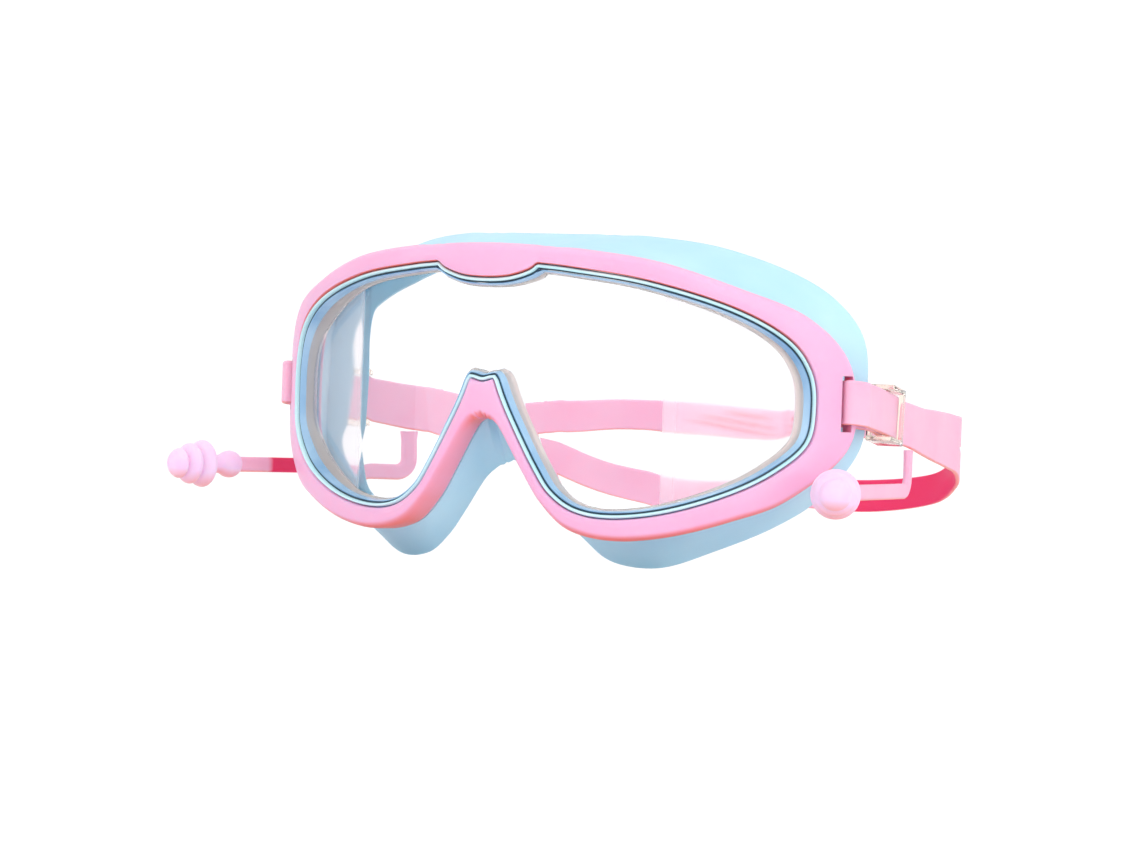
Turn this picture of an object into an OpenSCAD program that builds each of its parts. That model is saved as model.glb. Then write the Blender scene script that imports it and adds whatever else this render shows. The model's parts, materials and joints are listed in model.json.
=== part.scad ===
// Child's wide-view swim goggles with ear plugs on moulded silicone arms.
// +X is the wearer's left, +Y runs towards the face, +Z is up.
// The origin is the middle of the face seal at the brow, level with the window's middle.

/* [Window and frame] */
// Width of the window, measured round its curve
window_w = 162.6; // [130:0.1:200]
// Height of the window at its tallest
window_h = 58.8; // [48:0.1:72]
// Radius of the wrap, seen from above
wrap_r = 95; // [85:0.5:130]
// Width of the frame's band round the window
band_w = 5; // [4:0.1:7]
// Depth of the frame from front to back
frame_d = 8; // [6.5:0.1:11]
// Depth of the thin lug that carries each strap slot
lug_d = 4.5; // [3.5:0.1:5.5]

/* [Lens and gasket] */
// Width of the light-blue gasket lip that shows inside the frame
lip_w = 1.3; // [1:0.1:2]
// Depth of the gasket from front to back
gasket_d = 6.8; // [6.4:0.1:8]
// Thickness of the lens
lens_t = 2; // [1.5:0.1:2.5]
// Depth of the lens's front face below the frame's front face
lens_inset = 4.2; // [2:0.1:4.4]

/* [Skirt] */
// Depth of the skirt at the brow, from the frame's back to the face
skirt_d = 25; // [20:0.5:32]
// Wall of the skirt
skirt_wall = 1.6; // [1.2:0.1:2.2]
// Width at the temples of the seal lip that turns inwards against the face
seal_w = 9.5; // [6:0.1:12]

/* [Strap] */
// Width of the strap
strap_w = 10.4; // [8:0.1:13]
// Thickness of the strap
strap_t = 1.3; // [1:0.1:1.6]
// Distance from the temple bars to the back of the strap's loop
strap_l = 120; // [95:0.1:150]
// Height of the strap slots above the middle of the window
slot_z = 1.5; // [-1:0.1:3]
// Width of the bar that the strap folds round
bar_w = 2.4; // [2:0.1:3]
// Running clearance round the strap in its slot
slot_gap = 0.75; // [0.6:0.05:1]

/* [Buckles] */
// Length of a buckle along the strap
buckle_l = 12; // [10:0.1:14]
// Thickness of a buckle's rails and bars
buckle_t = 1.2; // [0.9:0.1:1.5]

/* [Ear plugs] */
// Width of a flat ear-plug arm
arm_w = 3.8; // [3:0.1:5]
// Thickness of a flat ear-plug arm
arm_t = 1.6; // [1.2:0.1:2.2]
// Drop from the strap's lower edge to the middle of the arm's level run
arm_drop = 10.4; // [8:0.1:16]
// Reach of the arm from its root to the middle of the plug's bead
arm_l = 56.7; // [45:0.1:70]
// Diameter of the plug's largest flange
plug_d = 11.7; // [9:0.1:14]
// Length of the plug from its bead to its tip
plug_l = 18.2; // [15:0.1:22]
// Diameter of the bead at the plug's foot
bead_d = 6.9; // [5.5:0.1:8]
// Angle of the right-hand arm (at +X), outwards from straight ahead
arm_out_px = 8; // [4:0.5:40]
// Angle of the left-hand arm (at -X), outwards from straight ahead
arm_out_nx = 19.5; // [4:0.5:40]
// Further outward turn of the plug at +X on the end of its soft arm
plug_turn_px = 17; // [0:1:25]

/* [Hidden] */
$fn = 48;

// Half of the window's edge, brow middle to nose middle: distance round the curve, height.
WINDOW_W0 = 162.6;
WINDOW_H0 = 58.8;
WINDOW = [[0, 28.2], [6, 28.6], [11, 30.1], [13.3, 31.7], [22, 30.9], [40, 28.4], [60, 23],
          [73.5, 16.4], [79.8, 9], [81.3, 0.5], [79.5, -8.5], [71, -15.6], [60, -21], [46, -25.4],
          [33.5, -27.1], [24.5, -26], [18, -22], [13.5, -15.8], [8, -6.2], [5, -0.4], [3, 4.4], [0, 3.7]];
// The brow tab ends and the nose ridge starts in a corner.
WINDOW_CORNERS = [3, 20];
// From each of those points out to the frame's outer edge, for a band 5 mm wide.
BAND_W0 = 5;
BAND = [[0, 8.1], [0, 7.6], [0.5, 5.9], [1.7, 4.1], [2, 4.4], [2.5, 4.5], [2, 4.4],
        [5, 5.2], [9.5, 3.5], [11.2, 0], [10, -2], [4, -6], [2, -5.6], [1, -5.3],
        [0, -5], [-1.7, -4], [-2.1, -2.2], [-2.4, -1.5], [-2.9, -1.6], [-2.4, -4.9], [-1.7, -8.9], [0, -7.9]];
// From the frame's back outer edge to the face seal: X, Y and Z, for a skirt 25 mm deep at the brow.
SKIRT_D0 = 25;
FLARE = [[0, 25, 3.6], [1, 25, 3.7], [1.5, 25.2, 3.9], [2.3, 25.2, 4.1], [3.3, 25.2, 4.4],
         [2.4, 25.4, 4.9], [3.2, 22.1, 5.1], [3, 15.5, 4.2], [3.2, 9.8, 4], [2.6, 7.6, 2.5],
         [3.6, 7.7, 1], [5.2, 12.3, 0.6], [5.2, 14.6, -1.6], [5.2, 15.3, -3.5], [5.5, 13.6, -6.6],
         [4.8, 12, -8], [4.5, 11.5, -9.3], [3.7, 10.6, -10.4], [3.1, 9.8, -11.8], [1.4, 9.2, -11],
         [0.8, 9, -10.7], [0, 9, -10.5]];
// The frame's section: share of the band from the window outwards, share of the depth.
FRAME_SECTION = [[0, 0.12], [0.15, 0.02], [0.45, 0], [0.75, 0.05], [0.93, 0.17],
                 [1, 0.37], [1, 0.68], [0.93, 0.9], [0.75, 1], [0, 1]];
// Samples between neighbouring points of an outline.
STEPS = 4;

front_y = -frame_d - skirt_d;
strap_half = strap_w / 2;
layer_gap = 1;
fit_gap = 0.1;
soft_gap = 0.35;

// Outlines

function mix(a, b, t) = a + (b - a) * t;
function hermite(p0, p1, m0, m1, t) =
    p0 * (2 * t ^ 3 - 3 * t ^ 2 + 1) + m0 * (t ^ 3 - 2 * t ^ 2 + t)
    + p1 * (3 * t ^ 2 - 2 * t ^ 3) + m1 * (t ^ 3 - t ^ 2);
function across(p) = [for (k = [0 : len(p) - 1]) k == 0 ? p[0] : 0];
function flip(p) = [for (k = [0 : len(p) - 1]) k == 0 ? -p[0] : p[k]];
function is_corner(i, corners) = len(search(i, corners)) > 0;
function slope_in(p, i, corners) =
    i == len(p) - 1 ? -across(p[i - 1])
    : is_corner(i, corners) ? p[i] - p[i - 1]
    : (p[i + 1] - p[i - 1]) / 2;
function slope_out(p, i, corners) =
    i == 0 ? across(p[1])
    : is_corner(i, corners) ? p[i + 1] - p[i]
    : (p[i + 1] - p[i - 1]) / 2;
// A smooth half outline that meets its mirror image square at both ends.
function half_curve(p, corners = []) = [
    for (i = [0 : len(p) - 2])
        for (j = [0 : STEPS - 1])
            hermite(p[i], p[i + 1], slope_out(p, i, corners), slope_in(p, i + 1, corners), j / STEPS),
    p[len(p) - 1]];
function whole(half) = concat(half, [for (k = [len(half) - 2 : -1 : 1]) flip(half[k])]);

// A point on the wrapped front: distance round the curve, height, depth below the front face.
function turn_deg(s) = s / wrap_r * 180 / PI;
function wrap(s, z, depth) = [
    (wrap_r - depth) * sin(turn_deg(s)),
    front_y + wrap_r - (wrap_r - depth) * cos(turn_deg(s)),
    z];

WINDOW_HALF = half_curve([for (p = WINDOW) [p[0] * window_w / WINDOW_W0, p[1] * window_h / WINDOW_H0]],
                         WINDOW_CORNERS);
BAND_HALF = half_curve(BAND * (band_w / BAND_W0));
FLARE_HALF = half_curve([for (p = FLARE) [p[0], p[1] * skirt_d / SKIRT_D0, p[2]]]);
window_edge = whole(WINDOW_HALF);
band = whole(BAND_HALF);
flare = whole(FLARE_HALF);
COUNT = len(window_edge);

// The window's edge moved inwards by a distance.
function inward(i) =
    let (d = window_edge[(i + 1) % COUNT] - window_edge[(i + COUNT - 1) % COUNT])
    [d[1], -d[0]] / norm(d);
function inset(i, e) = window_edge[i] + inward(i) * e;

// Solids from rings of points. A closed loft joins its last ring to its first.
module loft(rings, closed) {
    n = len(rings);
    m = len(rings[0]);
    sides = [for (i = [0 : closed ? n - 1 : n - 2])
        for (j = [0 : m - 1])
            let (k = (i + 1) % n, l = (j + 1) % m) [i * m + j, k * m + j, k * m + l, i * m + l]];
    ends = closed ? [] : [[for (j = [0 : m - 1]) j], [for (j = [m - 1 : -1 : 0]) (n - 1) * m + j]];
    polyhedron([for (r = rings) each r], concat(sides, ends), convexity = 8);
}

module both_sides() {
    children();
    mirror([1, 0, 0]) children();
}

// Frame

slot_w = strap_t + 2 * slot_gap;
outer_s = (WINDOW[9][0] * window_w / WINDOW_W0) + BAND[9][0] * band_w / BAND_W0;
bar_s = outer_s - bar_w / 2;
slot_s = outer_s - bar_w - slot_w / 2;
slot_h = strap_w + 2.6;
bar_at = wrap(bar_s, slot_z, lug_d / 2);

module at_temple(s) {
    translate(wrap(s, slot_z, 0)) rotate([0, 0, turn_deg(s)]) children();
}

module frame() {
    color("pink") difference() {
        loft([for (i = [0 : COUNT - 1]) [for (q = FRAME_SECTION)
            wrap(window_edge[i][0] + band[i][0] * q[0],
                 window_edge[i][1] + band[i][1] * q[0], frame_d * q[1])]], true);
        both_sides() at_temple(slot_s)
            translate([-slot_w / 2, -2, -slot_h / 2]) cube([slot_w, frame_d + 4, slot_h]);
        // The lug behind the bar is thinner than the frame, which leaves the strap room to fold.
        both_sides() at_temple(slot_s)
            translate([-slot_w / 2, lug_d, -slot_h / 2]) cube([slot_w + bar_w + 4, frame_d, slot_h]);
    }
}

// Gasket and lens

module lens_gasket() {
    section = [[fit_gap, 0.6], [0.45, 0.2], [lip_w - 0.3, 0.2], [lip_w + fit_gap, 0.6],
               [lip_w + fit_gap, gasket_d], [fit_gap, gasket_d]];
    color("lightcyan") loft([for (i = [0 : COUNT - 1]) [for (q = section)
        let (p = inset(i, q[0])) wrap(p[0], p[1], q[1])]], true);
}

lens_gap = 0.2;
lens_inset_e = lip_w + fit_gap + lens_gap;
HALF_COUNT = len(WINDOW_HALF);
SIDE_AT = 9 * STEPS;
lens_top = [for (i = [0 : SIDE_AT]) inset(i, lens_inset_e)];
lens_foot = [for (i = [HALF_COUNT - 1 : -1 : SIDE_AT]) inset(i, lens_inset_e)];
lens_s = lens_top[SIDE_AT][0] - 0.6;
LENS_COLUMNS = 150;
// The columns crowd together towards the lens's round ends.
function lens_column(i) =
    let (t = 2 * i / LENS_COLUMNS - 1)
    lens_s * mix(t, sin(90 * t), 0.6);

module lens() {
    back = lens_inset + lens_t;
    color("whitesmoke", 0.35) loft([for (i = [0 : LENS_COLUMNS])
        let (s = lens_column(i),
             top = lookup(abs(s), lens_top),
             foot = lookup(abs(s), lens_foot))
        [wrap(s, foot, lens_inset), wrap(s, top, lens_inset), wrap(s, top, back), wrap(s, foot, back)]],
        false);
}

// Skirt

skirt_foot_w = 5;
skirt_gap = 0.15;
foot_wall = skirt_wall + 0.4;
function skirt_foot(i, wall) =
    let (share = min(0.92, skirt_foot_w / norm(band[i])) - wall / norm(band[i]))
    wrap(window_edge[i][0] + band[i][0] * share, window_edge[i][1] + band[i][1] * share, frame_d + skirt_gap);
// Each section runs straight to the rim, and its lip turns in flat across the face.
function skirt_ring(i) =
    let (foot = skirt_foot(i, 0),
         inside = skirt_foot(i, foot_wall),
         corner = wrap(window_edge[i][0] + band[i][0], window_edge[i][1] + band[i][1], frame_d),
         rim = corner + flare[i],
         run = (rim - foot) / norm(rim - foot),
         toward = inside - foot,
         across = [toward[0], 0, toward[2]] / norm([toward[0], toward[2]]),
         wall = across - (across * run) * run,
         into = wall / norm(wall),
         lip = seal_w * min(1, 0.3 + norm(rim - [0, rim[1], -15]) / 100))
    [foot, mix(foot, rim, 0.45), mix(foot, rim, 0.85), rim,
     rim + across * lip + run * 0.4,
     rim + across * lip - run * 0.9,
     rim + into * skirt_wall - run * 1.8,
     mix(foot, rim, 0.45) + into * skirt_wall,
     inside];

module face_skirt() {
    color("powderblue") loft([for (i = [0 : COUNT - 1]) skirt_ring(i)], true);
}

// Strap

// The two layers run straight back through the buckle along this line in plan.
run_turn = 11;
run_dir = [-sin(run_turn), cos(run_turn)];
run_out = [cos(run_turn), sin(run_turn)];
run_at = [bar_at[0] + 1.6, bar_at[1] + 8.1];
run_l = 19.5;
strap_fall = 0.115;
layer_off = (layer_gap + strap_t) / 2;
tail_l = 17.5;

function strap_mid(y) = slot_z - strap_fall * (y - bar_at[1]);
function strap_row(p, slit = 0.3) =
    let (z = strap_mid(p[1])) [p[0], p[1], z + strap_half, z + slit, z - slit, z - strap_half];
function on_run(l, off) = run_at + run_dir * l + run_out * off;
// In plan from the middle of the temple bar: round the curve, then out of the front face.
bar_turn = turn_deg(bar_s);
function by_bar(a, b) = [bar_at[0] + a * cos(bar_turn) + b * sin(bar_turn),
                         bar_at[1] + a * sin(bar_turn) - b * cos(bar_turn)];
wrap_a = bar_w / 2 + slot_gap + strap_t / 2;
wrap_b = lug_d / 2 + slot_gap + strap_t / 2;

// The tail lies outside, goes in through the slot from the front, and comes back inside.
FOLD = [on_run(tail_l, layer_off), on_run(tail_l / 2, layer_off), on_run(0, layer_off),
        by_bar(3.6, 1.6), by_bar(2.4, wrap_b - 0.5), by_bar(1, wrap_b), by_bar(-1.2, wrap_b),
        by_bar(-wrap_a + 0.3, wrap_b - 0.4), by_bar(-wrap_a, wrap_b - 1.3),
        by_bar(-wrap_a, 0), by_bar(-wrap_a, 1.3 - wrap_b),
        by_bar(-wrap_a + 0.3, 0.2 - wrap_b), by_bar(-wrap_a + 1.4, -0.8 - wrap_b),
        on_run(0, -layer_off), on_run(run_l / 2, -layer_off), on_run(run_l, -layer_off)];

// The free loop: X, distance behind the bar, then the heights of the strap's top edge,
// the slit's two edges and the strap's lower edge.
LOOP_X0 = 76;
LOOP_L0 = 120;
arm_root_y = 43.6;
LOOP = [[70.8, arm_root_y, 2.1, -3, -3.6, -8.7], [68.2, 57, 1, -4.4, -5, -10.5],
        [65.9, 69, 0.6, -5.4, -6, -12.1], [63.7, 81, 0, -6.8, -7.2, -13.6],
        [61.5, 93, -0.8, -8.2, -8.8, -15.6], [56.5, 103.5, -0.7, -8.6, -11.4, -19.4],
        [46, 113, 0.2, -7.2, -16, -23.9], [25, 118.4, 0, -7.5, -18.4, -26.8],
        [0, 120, -1.2, -9, -18.4, -26.4]];
SLIT_FROM = 4;
widen = (strap_w - 10.4) / 2;
LOOP_ROWS = [for (p = LOOP) [p[0] * bar_at[0] / LOOP_X0, bar_at[1] + p[1] * strap_l / LOOP_L0,
                             p[2] + widen, p[3], p[4], p[5] - widen]];
LOOP_CURVE = [
    let (all = concat([strap_row(on_run(run_l / 2, -layer_off)), strap_row(on_run(run_l, -layer_off))], LOOP_ROWS))
    for (i = [1 : len(all) - 2])
        for (j = [1 : STEPS])
            hermite(all[i], all[i + 1], (all[i + 1] - all[i - 1]) / 2, slope_in(all, i + 1, []), j / STEPS)];
STRAP_HALF = concat([for (p = FOLD) strap_row(p)], LOOP_CURVE);
STRAP = concat(STRAP_HALF, [for (k = [len(STRAP_HALF) - 2 : -1 : 0]) flip(STRAP_HALF[k])]);
SLIT_START = len(FOLD) + STEPS * (SLIT_FROM + 1) - 1;

// Across the strap in plan at a station, to the left of the way it runs.
function strap_side(i) =
    let (d = STRAP[min(i + 1, len(STRAP) - 1)] - STRAP[max(i - 1, 0)])
    [-d[1], d[0]] / norm([d[0], d[1]]);
function strap_point(i, k, side) =
    let (n = strap_side(i) * side * strap_t / 2) [STRAP[i][0] + n[0], STRAP[i][1] + n[1], STRAP[i][2 + k]];

module head_strap() {
    n = len(STRAP);
    slit_end = n - 1 - SLIT_START;
    // Each station has four heights on each face of the strap.
    points = [for (i = [0 : n - 1]) for (side = [-1, 1]) for (k = [0 : 3]) strap_point(i, k, side)];
    function at(i, side, k) = i * 8 + side * 4 + k;
    function slit(i) = i >= SLIT_START && i < slit_end;
    faces = [for (i = [0 : n - 2]) each concat(
        [for (k = [0 : 2]) if (!(k == 1 && slit(i)))
            each [[at(i, 0, k), at(i, 0, k + 1), at(i + 1, 0, k + 1), at(i + 1, 0, k)],
                  [at(i, 1, k + 1), at(i, 1, k), at(i + 1, 1, k), at(i + 1, 1, k + 1)]]],
        [[at(i, 1, 0), at(i, 0, 0), at(i + 1, 0, 0), at(i + 1, 1, 0)],
         [at(i, 0, 3), at(i, 1, 3), at(i + 1, 1, 3), at(i + 1, 0, 3)]],
        slit(i) ? [[at(i, 0, 1), at(i, 1, 1), at(i + 1, 1, 1), at(i + 1, 0, 1)],
                   [at(i, 1, 2), at(i, 0, 2), at(i + 1, 0, 2), at(i + 1, 1, 2)]] : [])];
    walls = [[at(SLIT_START, 1, 1), at(SLIT_START, 0, 1), at(SLIT_START, 0, 2), at(SLIT_START, 1, 2)],
             [at(slit_end, 0, 1), at(slit_end, 1, 1), at(slit_end, 1, 2), at(slit_end, 0, 2)]];
    ends = [for (k = [0 : 2]) each [
        [at(0, 0, k), at(0, 1, k), at(0, 1, k + 1), at(0, 0, k + 1)],
        [at(n - 1, 1, k), at(n - 1, 0, k), at(n - 1, 0, k + 1), at(n - 1, 1, k + 1)]]];
    color("hotpink") polyhedron(points, concat(faces, walls, ends), convexity = 10);
}

// Buckles

buckle_at = on_run(12.5, 0);
rail_z = strap_half + 0.3;

module buckle() {
    bar_x = layer_gap / 2 + strap_t + 0.15;
    tall = 2 * (rail_z + buckle_t);
    half_x = bar_x + buckle_t;
    translate([buckle_at[0], buckle_at[1], strap_mid(buckle_at[1])])
        rotate([0, 0, run_turn]) rotate([-atan(strap_fall), 0, 0]) {
            for (side = [-1, 1])
                translate([-half_x, -buckle_l / 2, side * (rail_z + buckle_t / 2) - buckle_t / 2])
                    cube([2 * half_x, buckle_l, buckle_t]);
            // One bar outside at the rear, one inside at the front, one between the layers.
            translate([bar_x, buckle_l / 2 - 2.2, -tall / 2]) cube([buckle_t, 2.2, tall]);
            translate([-half_x, -buckle_l / 2, -tall / 2]) cube([buckle_t, 2.2, tall]);
            translate([0.15 - layer_gap / 2, -1, -tall / 2]) cube([layer_gap - 0.3, 2, tall]);
        }
}
module buckle_px() {
    color("white", 0.5) buckle();
}
module buckle_nx() {
    color("white", 0.5) mirror([1, 0, 0]) buckle();
}

// Ear plugs

arm_root = [LOOP_ROWS[0][0], LOOP_ROWS[0][1], LOOP_ROWS[0][5]];
arm_bend = 3.4;
// The arm drops from the strap, turns and runs forward: distance forward, height.
ARM_PATH = concat([[0, -soft_gap], [0, arm_bend - arm_drop]],
                  [for (a = [15 : 15 : 75]) [arm_bend * (1 - cos(a)), arm_bend - arm_drop - arm_bend * sin(a)]],
                  [for (f = [arm_bend, 16, 28, 40, arm_l - bead_d / 2 + 1.2]) [f, -arm_drop]]);
function arm_ring(i) =
    let (d = ARM_PATH[min(i + 1, len(ARM_PATH) - 1)] - ARM_PATH[max(i - 1, 0)],
         across_path = [-d[1], d[0]] / norm(d) * arm_w / 2,
         p = ARM_PATH[i])
    [for (c = [[1, -1], [1, 1], [-1, 1], [-1, -1]])
        [c[1] * arm_t / 2, -(p[0] + across_path[0] * c[0]), p[1] + across_path[1] * c[0]]];

module ear_arm(out) {
    translate(arm_root) rotate([0, 0, out]) loft([for (i = [0 : len(ARM_PATH) - 1]) arm_ring(i)], false);
}

// Half of the plug's section, bead to tip: distance along the plug, radius.
flange_r = plug_d / 2;
PLUG_L0 = 18.2;
FLANGES = [[7.6, 1, 11], [11.4, 0.87, 14.2], [14.8, 0.65, 16.2]];
module plug_body() {
    k = plug_l / PLUG_L0;
    rotate([90, 0, 0]) {
        sphere(d = bead_d);
        cylinder(d = bead_d * 0.64, h = 15 * k);
        // Each flange is a cap that sweeps forward from its rim.
        for (f = FLANGES) {
            rim = f[0] * k;
            nose = f[2] * k;
            rotate_extrude() polygon([[0, rim + 0.9], [flange_r * f[1] - 0.5, rim], [flange_r * f[1], rim + 0.5],
                [flange_r * f[1] * 0.93, rim + 1.3], [flange_r * f[1] * 0.75, mix(rim, nose, 0.72)], [0, nose]]);
        }
        translate([0, 0, plug_l - flange_r * 0.6]) sphere(r = flange_r * 0.6);
    }
}
module ear_plug(out, turn) {
    translate(arm_root) rotate([0, 0, out]) translate([0, -arm_l, -arm_drop]) rotate([0, 0, turn]) plug_body();
}
module ear_arm_px() {
    color("pink") ear_arm(arm_out_px);
}
module ear_arm_nx() {
    color("pink") mirror([1, 0, 0]) ear_arm(arm_out_nx);
}
module ear_plug_px() {
    color("thistle") ear_plug(arm_out_px, plug_turn_px);
}
module ear_plug_nx() {
    color("thistle") mirror([1, 0, 0]) ear_plug(arm_out_nx, 0);
}

frame();
lens_gasket();
lens();
face_skirt();
head_strap();
buckle_px();
buckle_nx();
ear_arm_px();
ear_arm_nx();
ear_plug_px();
ear_plug_nx();
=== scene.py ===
import json
import math
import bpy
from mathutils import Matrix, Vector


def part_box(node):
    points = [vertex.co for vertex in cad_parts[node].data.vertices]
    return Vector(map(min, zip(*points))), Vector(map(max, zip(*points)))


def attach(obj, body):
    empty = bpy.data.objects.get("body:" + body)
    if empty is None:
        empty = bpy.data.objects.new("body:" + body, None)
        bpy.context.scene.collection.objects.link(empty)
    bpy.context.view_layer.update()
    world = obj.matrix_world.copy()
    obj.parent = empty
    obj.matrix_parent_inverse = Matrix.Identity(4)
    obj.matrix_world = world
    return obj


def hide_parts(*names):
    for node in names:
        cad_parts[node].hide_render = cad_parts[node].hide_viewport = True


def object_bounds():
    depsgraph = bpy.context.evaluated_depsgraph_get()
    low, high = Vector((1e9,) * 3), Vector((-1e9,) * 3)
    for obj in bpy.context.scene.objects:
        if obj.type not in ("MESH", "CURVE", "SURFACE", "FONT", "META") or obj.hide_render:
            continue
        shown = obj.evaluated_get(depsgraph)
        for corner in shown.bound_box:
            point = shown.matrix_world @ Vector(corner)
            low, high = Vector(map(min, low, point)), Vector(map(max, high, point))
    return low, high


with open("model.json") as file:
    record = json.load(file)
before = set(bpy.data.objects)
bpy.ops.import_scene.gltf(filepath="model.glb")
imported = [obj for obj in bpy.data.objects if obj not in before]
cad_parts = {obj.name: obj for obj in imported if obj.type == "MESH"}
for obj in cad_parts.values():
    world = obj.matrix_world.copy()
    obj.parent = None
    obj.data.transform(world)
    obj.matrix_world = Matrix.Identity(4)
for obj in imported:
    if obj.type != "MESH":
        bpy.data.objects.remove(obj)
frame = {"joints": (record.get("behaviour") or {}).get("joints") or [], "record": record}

from types import SimpleNamespace

import bmesh
import bpy
import numpy as np
from bpy.props import FloatProperty, FloatVectorProperty, PointerProperty
from mathutils import Matrix, Vector

bl_info = {
    "name": "Swim Goggles",
    "version": (1, 0, 0),
    "blender": (4, 5, 0),
    "location": "View3D > Sidebar > Goggles",
    "description": "Builds a child's wide-view swim goggles round a packed CAD frame",
    "category": "Add Mesh",
}

# ---- What the frame says. Shapes below are worked out in millimetres.

MM = 0.001
CAD_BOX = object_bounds()
JOINTS = {joint["name"]: joint for joint in frame["joints"]}
MOUNTS = {mount["name"]: mount for mount in frame["record"]["mounts"]}
FRONT_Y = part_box("frame")[0].y / MM
SLOT_Z = JOINTS["strap_tilt"]["pos_m"][2] / MM
FRAME_DEPTH = 8.0
LUG_DEPTH = 4.5
WRAP_RADIUS = 95.0

# Half of the window's edge, brow middle to nose middle: distance round the curve, height.
WINDOW = [(0, 28.2), (6, 28.6), (11, 30.1), (13.3, 31.7), (22, 30.9), (40, 28.4), (60, 23),
          (73.5, 16.4), (79.8, 9), (81.3, 0.5), (79.5, -8.5), (71, -15.6), (60, -21), (46, -25.4),
          (33.5, -27.1), (24.5, -26), (18, -22), (13.5, -15.8), (8, -6.2), (5, -0.4), (3, 4.4), (0, 3.7)]
# The brow tab ends and the nose ridge starts in a corner.
WINDOW_CORNERS = (3, 20)
# From each of those points out to the frame's outer edge.
BAND = [(0, 8.1), (0, 7.6), (0.5, 5.9), (1.7, 4.1), (2, 4.4), (2.5, 4.5), (2, 4.4),
        (5, 5.2), (9.5, 3.5), (11.2, 0), (10, -2), (4, -6), (2, -5.6), (1, -5.3),
        (0, -5), (-1.7, -4), (-2.1, -2.2), (-2.4, -1.5), (-2.9, -1.6), (-2.4, -4.9), (-1.7, -8.9), (0, -7.9)]
# From the frame's back outer edge to the face seal: X, Y and Z.
FLARE = [(0, 25, 3.6), (1, 25, 3.7), (1.5, 25.2, 3.9), (2.3, 25.2, 4.1), (3.3, 25.2, 4.4),
         (2.4, 25.4, 4.9), (3.2, 22.1, 5.1), (3, 15.5, 4.2), (3.2, 9.8, 4), (2.6, 7.6, 2.5),
         (3.6, 7.7, 1), (5.2, 12.3, 0.6), (5.2, 14.6, -1.6), (5.2, 15.3, -3.5), (5.5, 13.6, -6.6),
         (4.8, 12, -8), (4.5, 11.5, -9.3), (3.7, 10.6, -10.4), (3.1, 9.8, -11.8), (1.4, 9.2, -11),
         (0.8, 9, -10.7), (0, 9, -10.5)]
# Spacing of the sections round the window
RIM_SPACING = 0.75
# Number of points that an outline is measured with
DENSE = 2400


# ---- Colours, nodes and materials

def linear(hex_colour):
    """An sRGB hex colour as the linear numbers that shaders take."""
    channels = [int(hex_colour[i:i + 2], 16) / 255 for i in (1, 3, 5)]
    return (*[c / 12.92 if c <= 0.04045 else ((c + 0.055) / 1.055) ** 2.4 for c in channels], 1.0)


def add_node(tree, kind, settings=None, values=None, links=None):
    """Adds a node, with its settings, its inputs' values and its inputs' links."""
    node = tree.nodes.new(kind)
    for name, value in (settings or {}).items():
        setattr(node, name, value)
    for name, value in (values or {}).items():
        node.inputs[name].default_value = value
    for name, source in (links or {}).items():
        tree.links.new(source, node.inputs[name])
    return node


def new_material(name, values):
    """An empty material with its output and a Principled shader with these inputs."""
    material = bpy.data.materials.new(name)
    material.use_nodes = True
    tree = material.node_tree
    tree.nodes.clear()
    shader = add_node(tree, "ShaderNodeBsdfPrincipled", values=values)
    add_node(tree, "ShaderNodeOutputMaterial", links={"Surface": shader.outputs["BSDF"]})
    return material, tree, shader


def clouds(tree, size_mm, detail=2.0):
    """Noise that stays fixed to the object, with features this many millimetres across."""
    place = add_node(tree, "ShaderNodeTexCoord").outputs["Object"]
    return add_node(tree, "ShaderNodeTexNoise", values={"Scale": 1 / (size_mm * MM), "Detail": detail},
                    links={"Vector": place}).outputs["Fac"]


def uneven_gloss(tree, shader, pattern, low, high):
    """Roughness that follows a pattern, from low to high."""
    gloss = add_node(tree, "ShaderNodeMapRange", values={"To Min": low, "To Max": high},
                     links={"Value": pattern})
    tree.links.new(gloss.outputs["Result"], shader.inputs["Roughness"])


def fine_bump(tree, shader, size_mm, depth_mm, strength):
    """A fine grain in the surface."""
    bump = add_node(tree, "ShaderNodeBump", values={"Strength": strength, "Distance": depth_mm * MM},
                    links={"Height": clouds(tree, size_mm)})
    tree.links.new(bump.outputs["Normal"], shader.inputs["Normal"])


# Sockets of a colour mix: its first colour, its second and its result
COLOUR_A, COLOUR_B, COLOUR_RESULT = 6, 7, 2


def tinted(tree, pigment, tint, share):
    """A pigment with a share of a tint in it."""
    mix = add_node(tree, "ShaderNodeMix", {"data_type": "RGBA"}, {COLOUR_B: linear(tint)},
                   {"Factor": share, COLOUR_A: pigment})
    return mix.outputs[COLOUR_RESULT]


def facing_down(tree):
    """Where a painted shade falls on undersides: 1 where the object's own surface faces the ground, falling
    to 0 where it stands upright.
    """
    place = add_node(tree, "ShaderNodeTexCoord")
    height = add_node(tree, "ShaderNodeSeparateXYZ", links={"Vector": place.outputs["Normal"]})
    fade = add_node(tree, "ShaderNodeMapRange", values={"From Min": -0.3, "From Max": -0.9},
                    links={"Value": height.outputs["Z"]})
    return fade.outputs["Result"]


# The attribute of a mesh that says how much painted shade each point gets in a fold or groove, from 0 to 1
PAINTED_SHADE_ATTRIBUTE = "painted_fold_shade"
# How far a moulding's roughness strays to each side
GLOSS_SPREAD = 0.05


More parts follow.
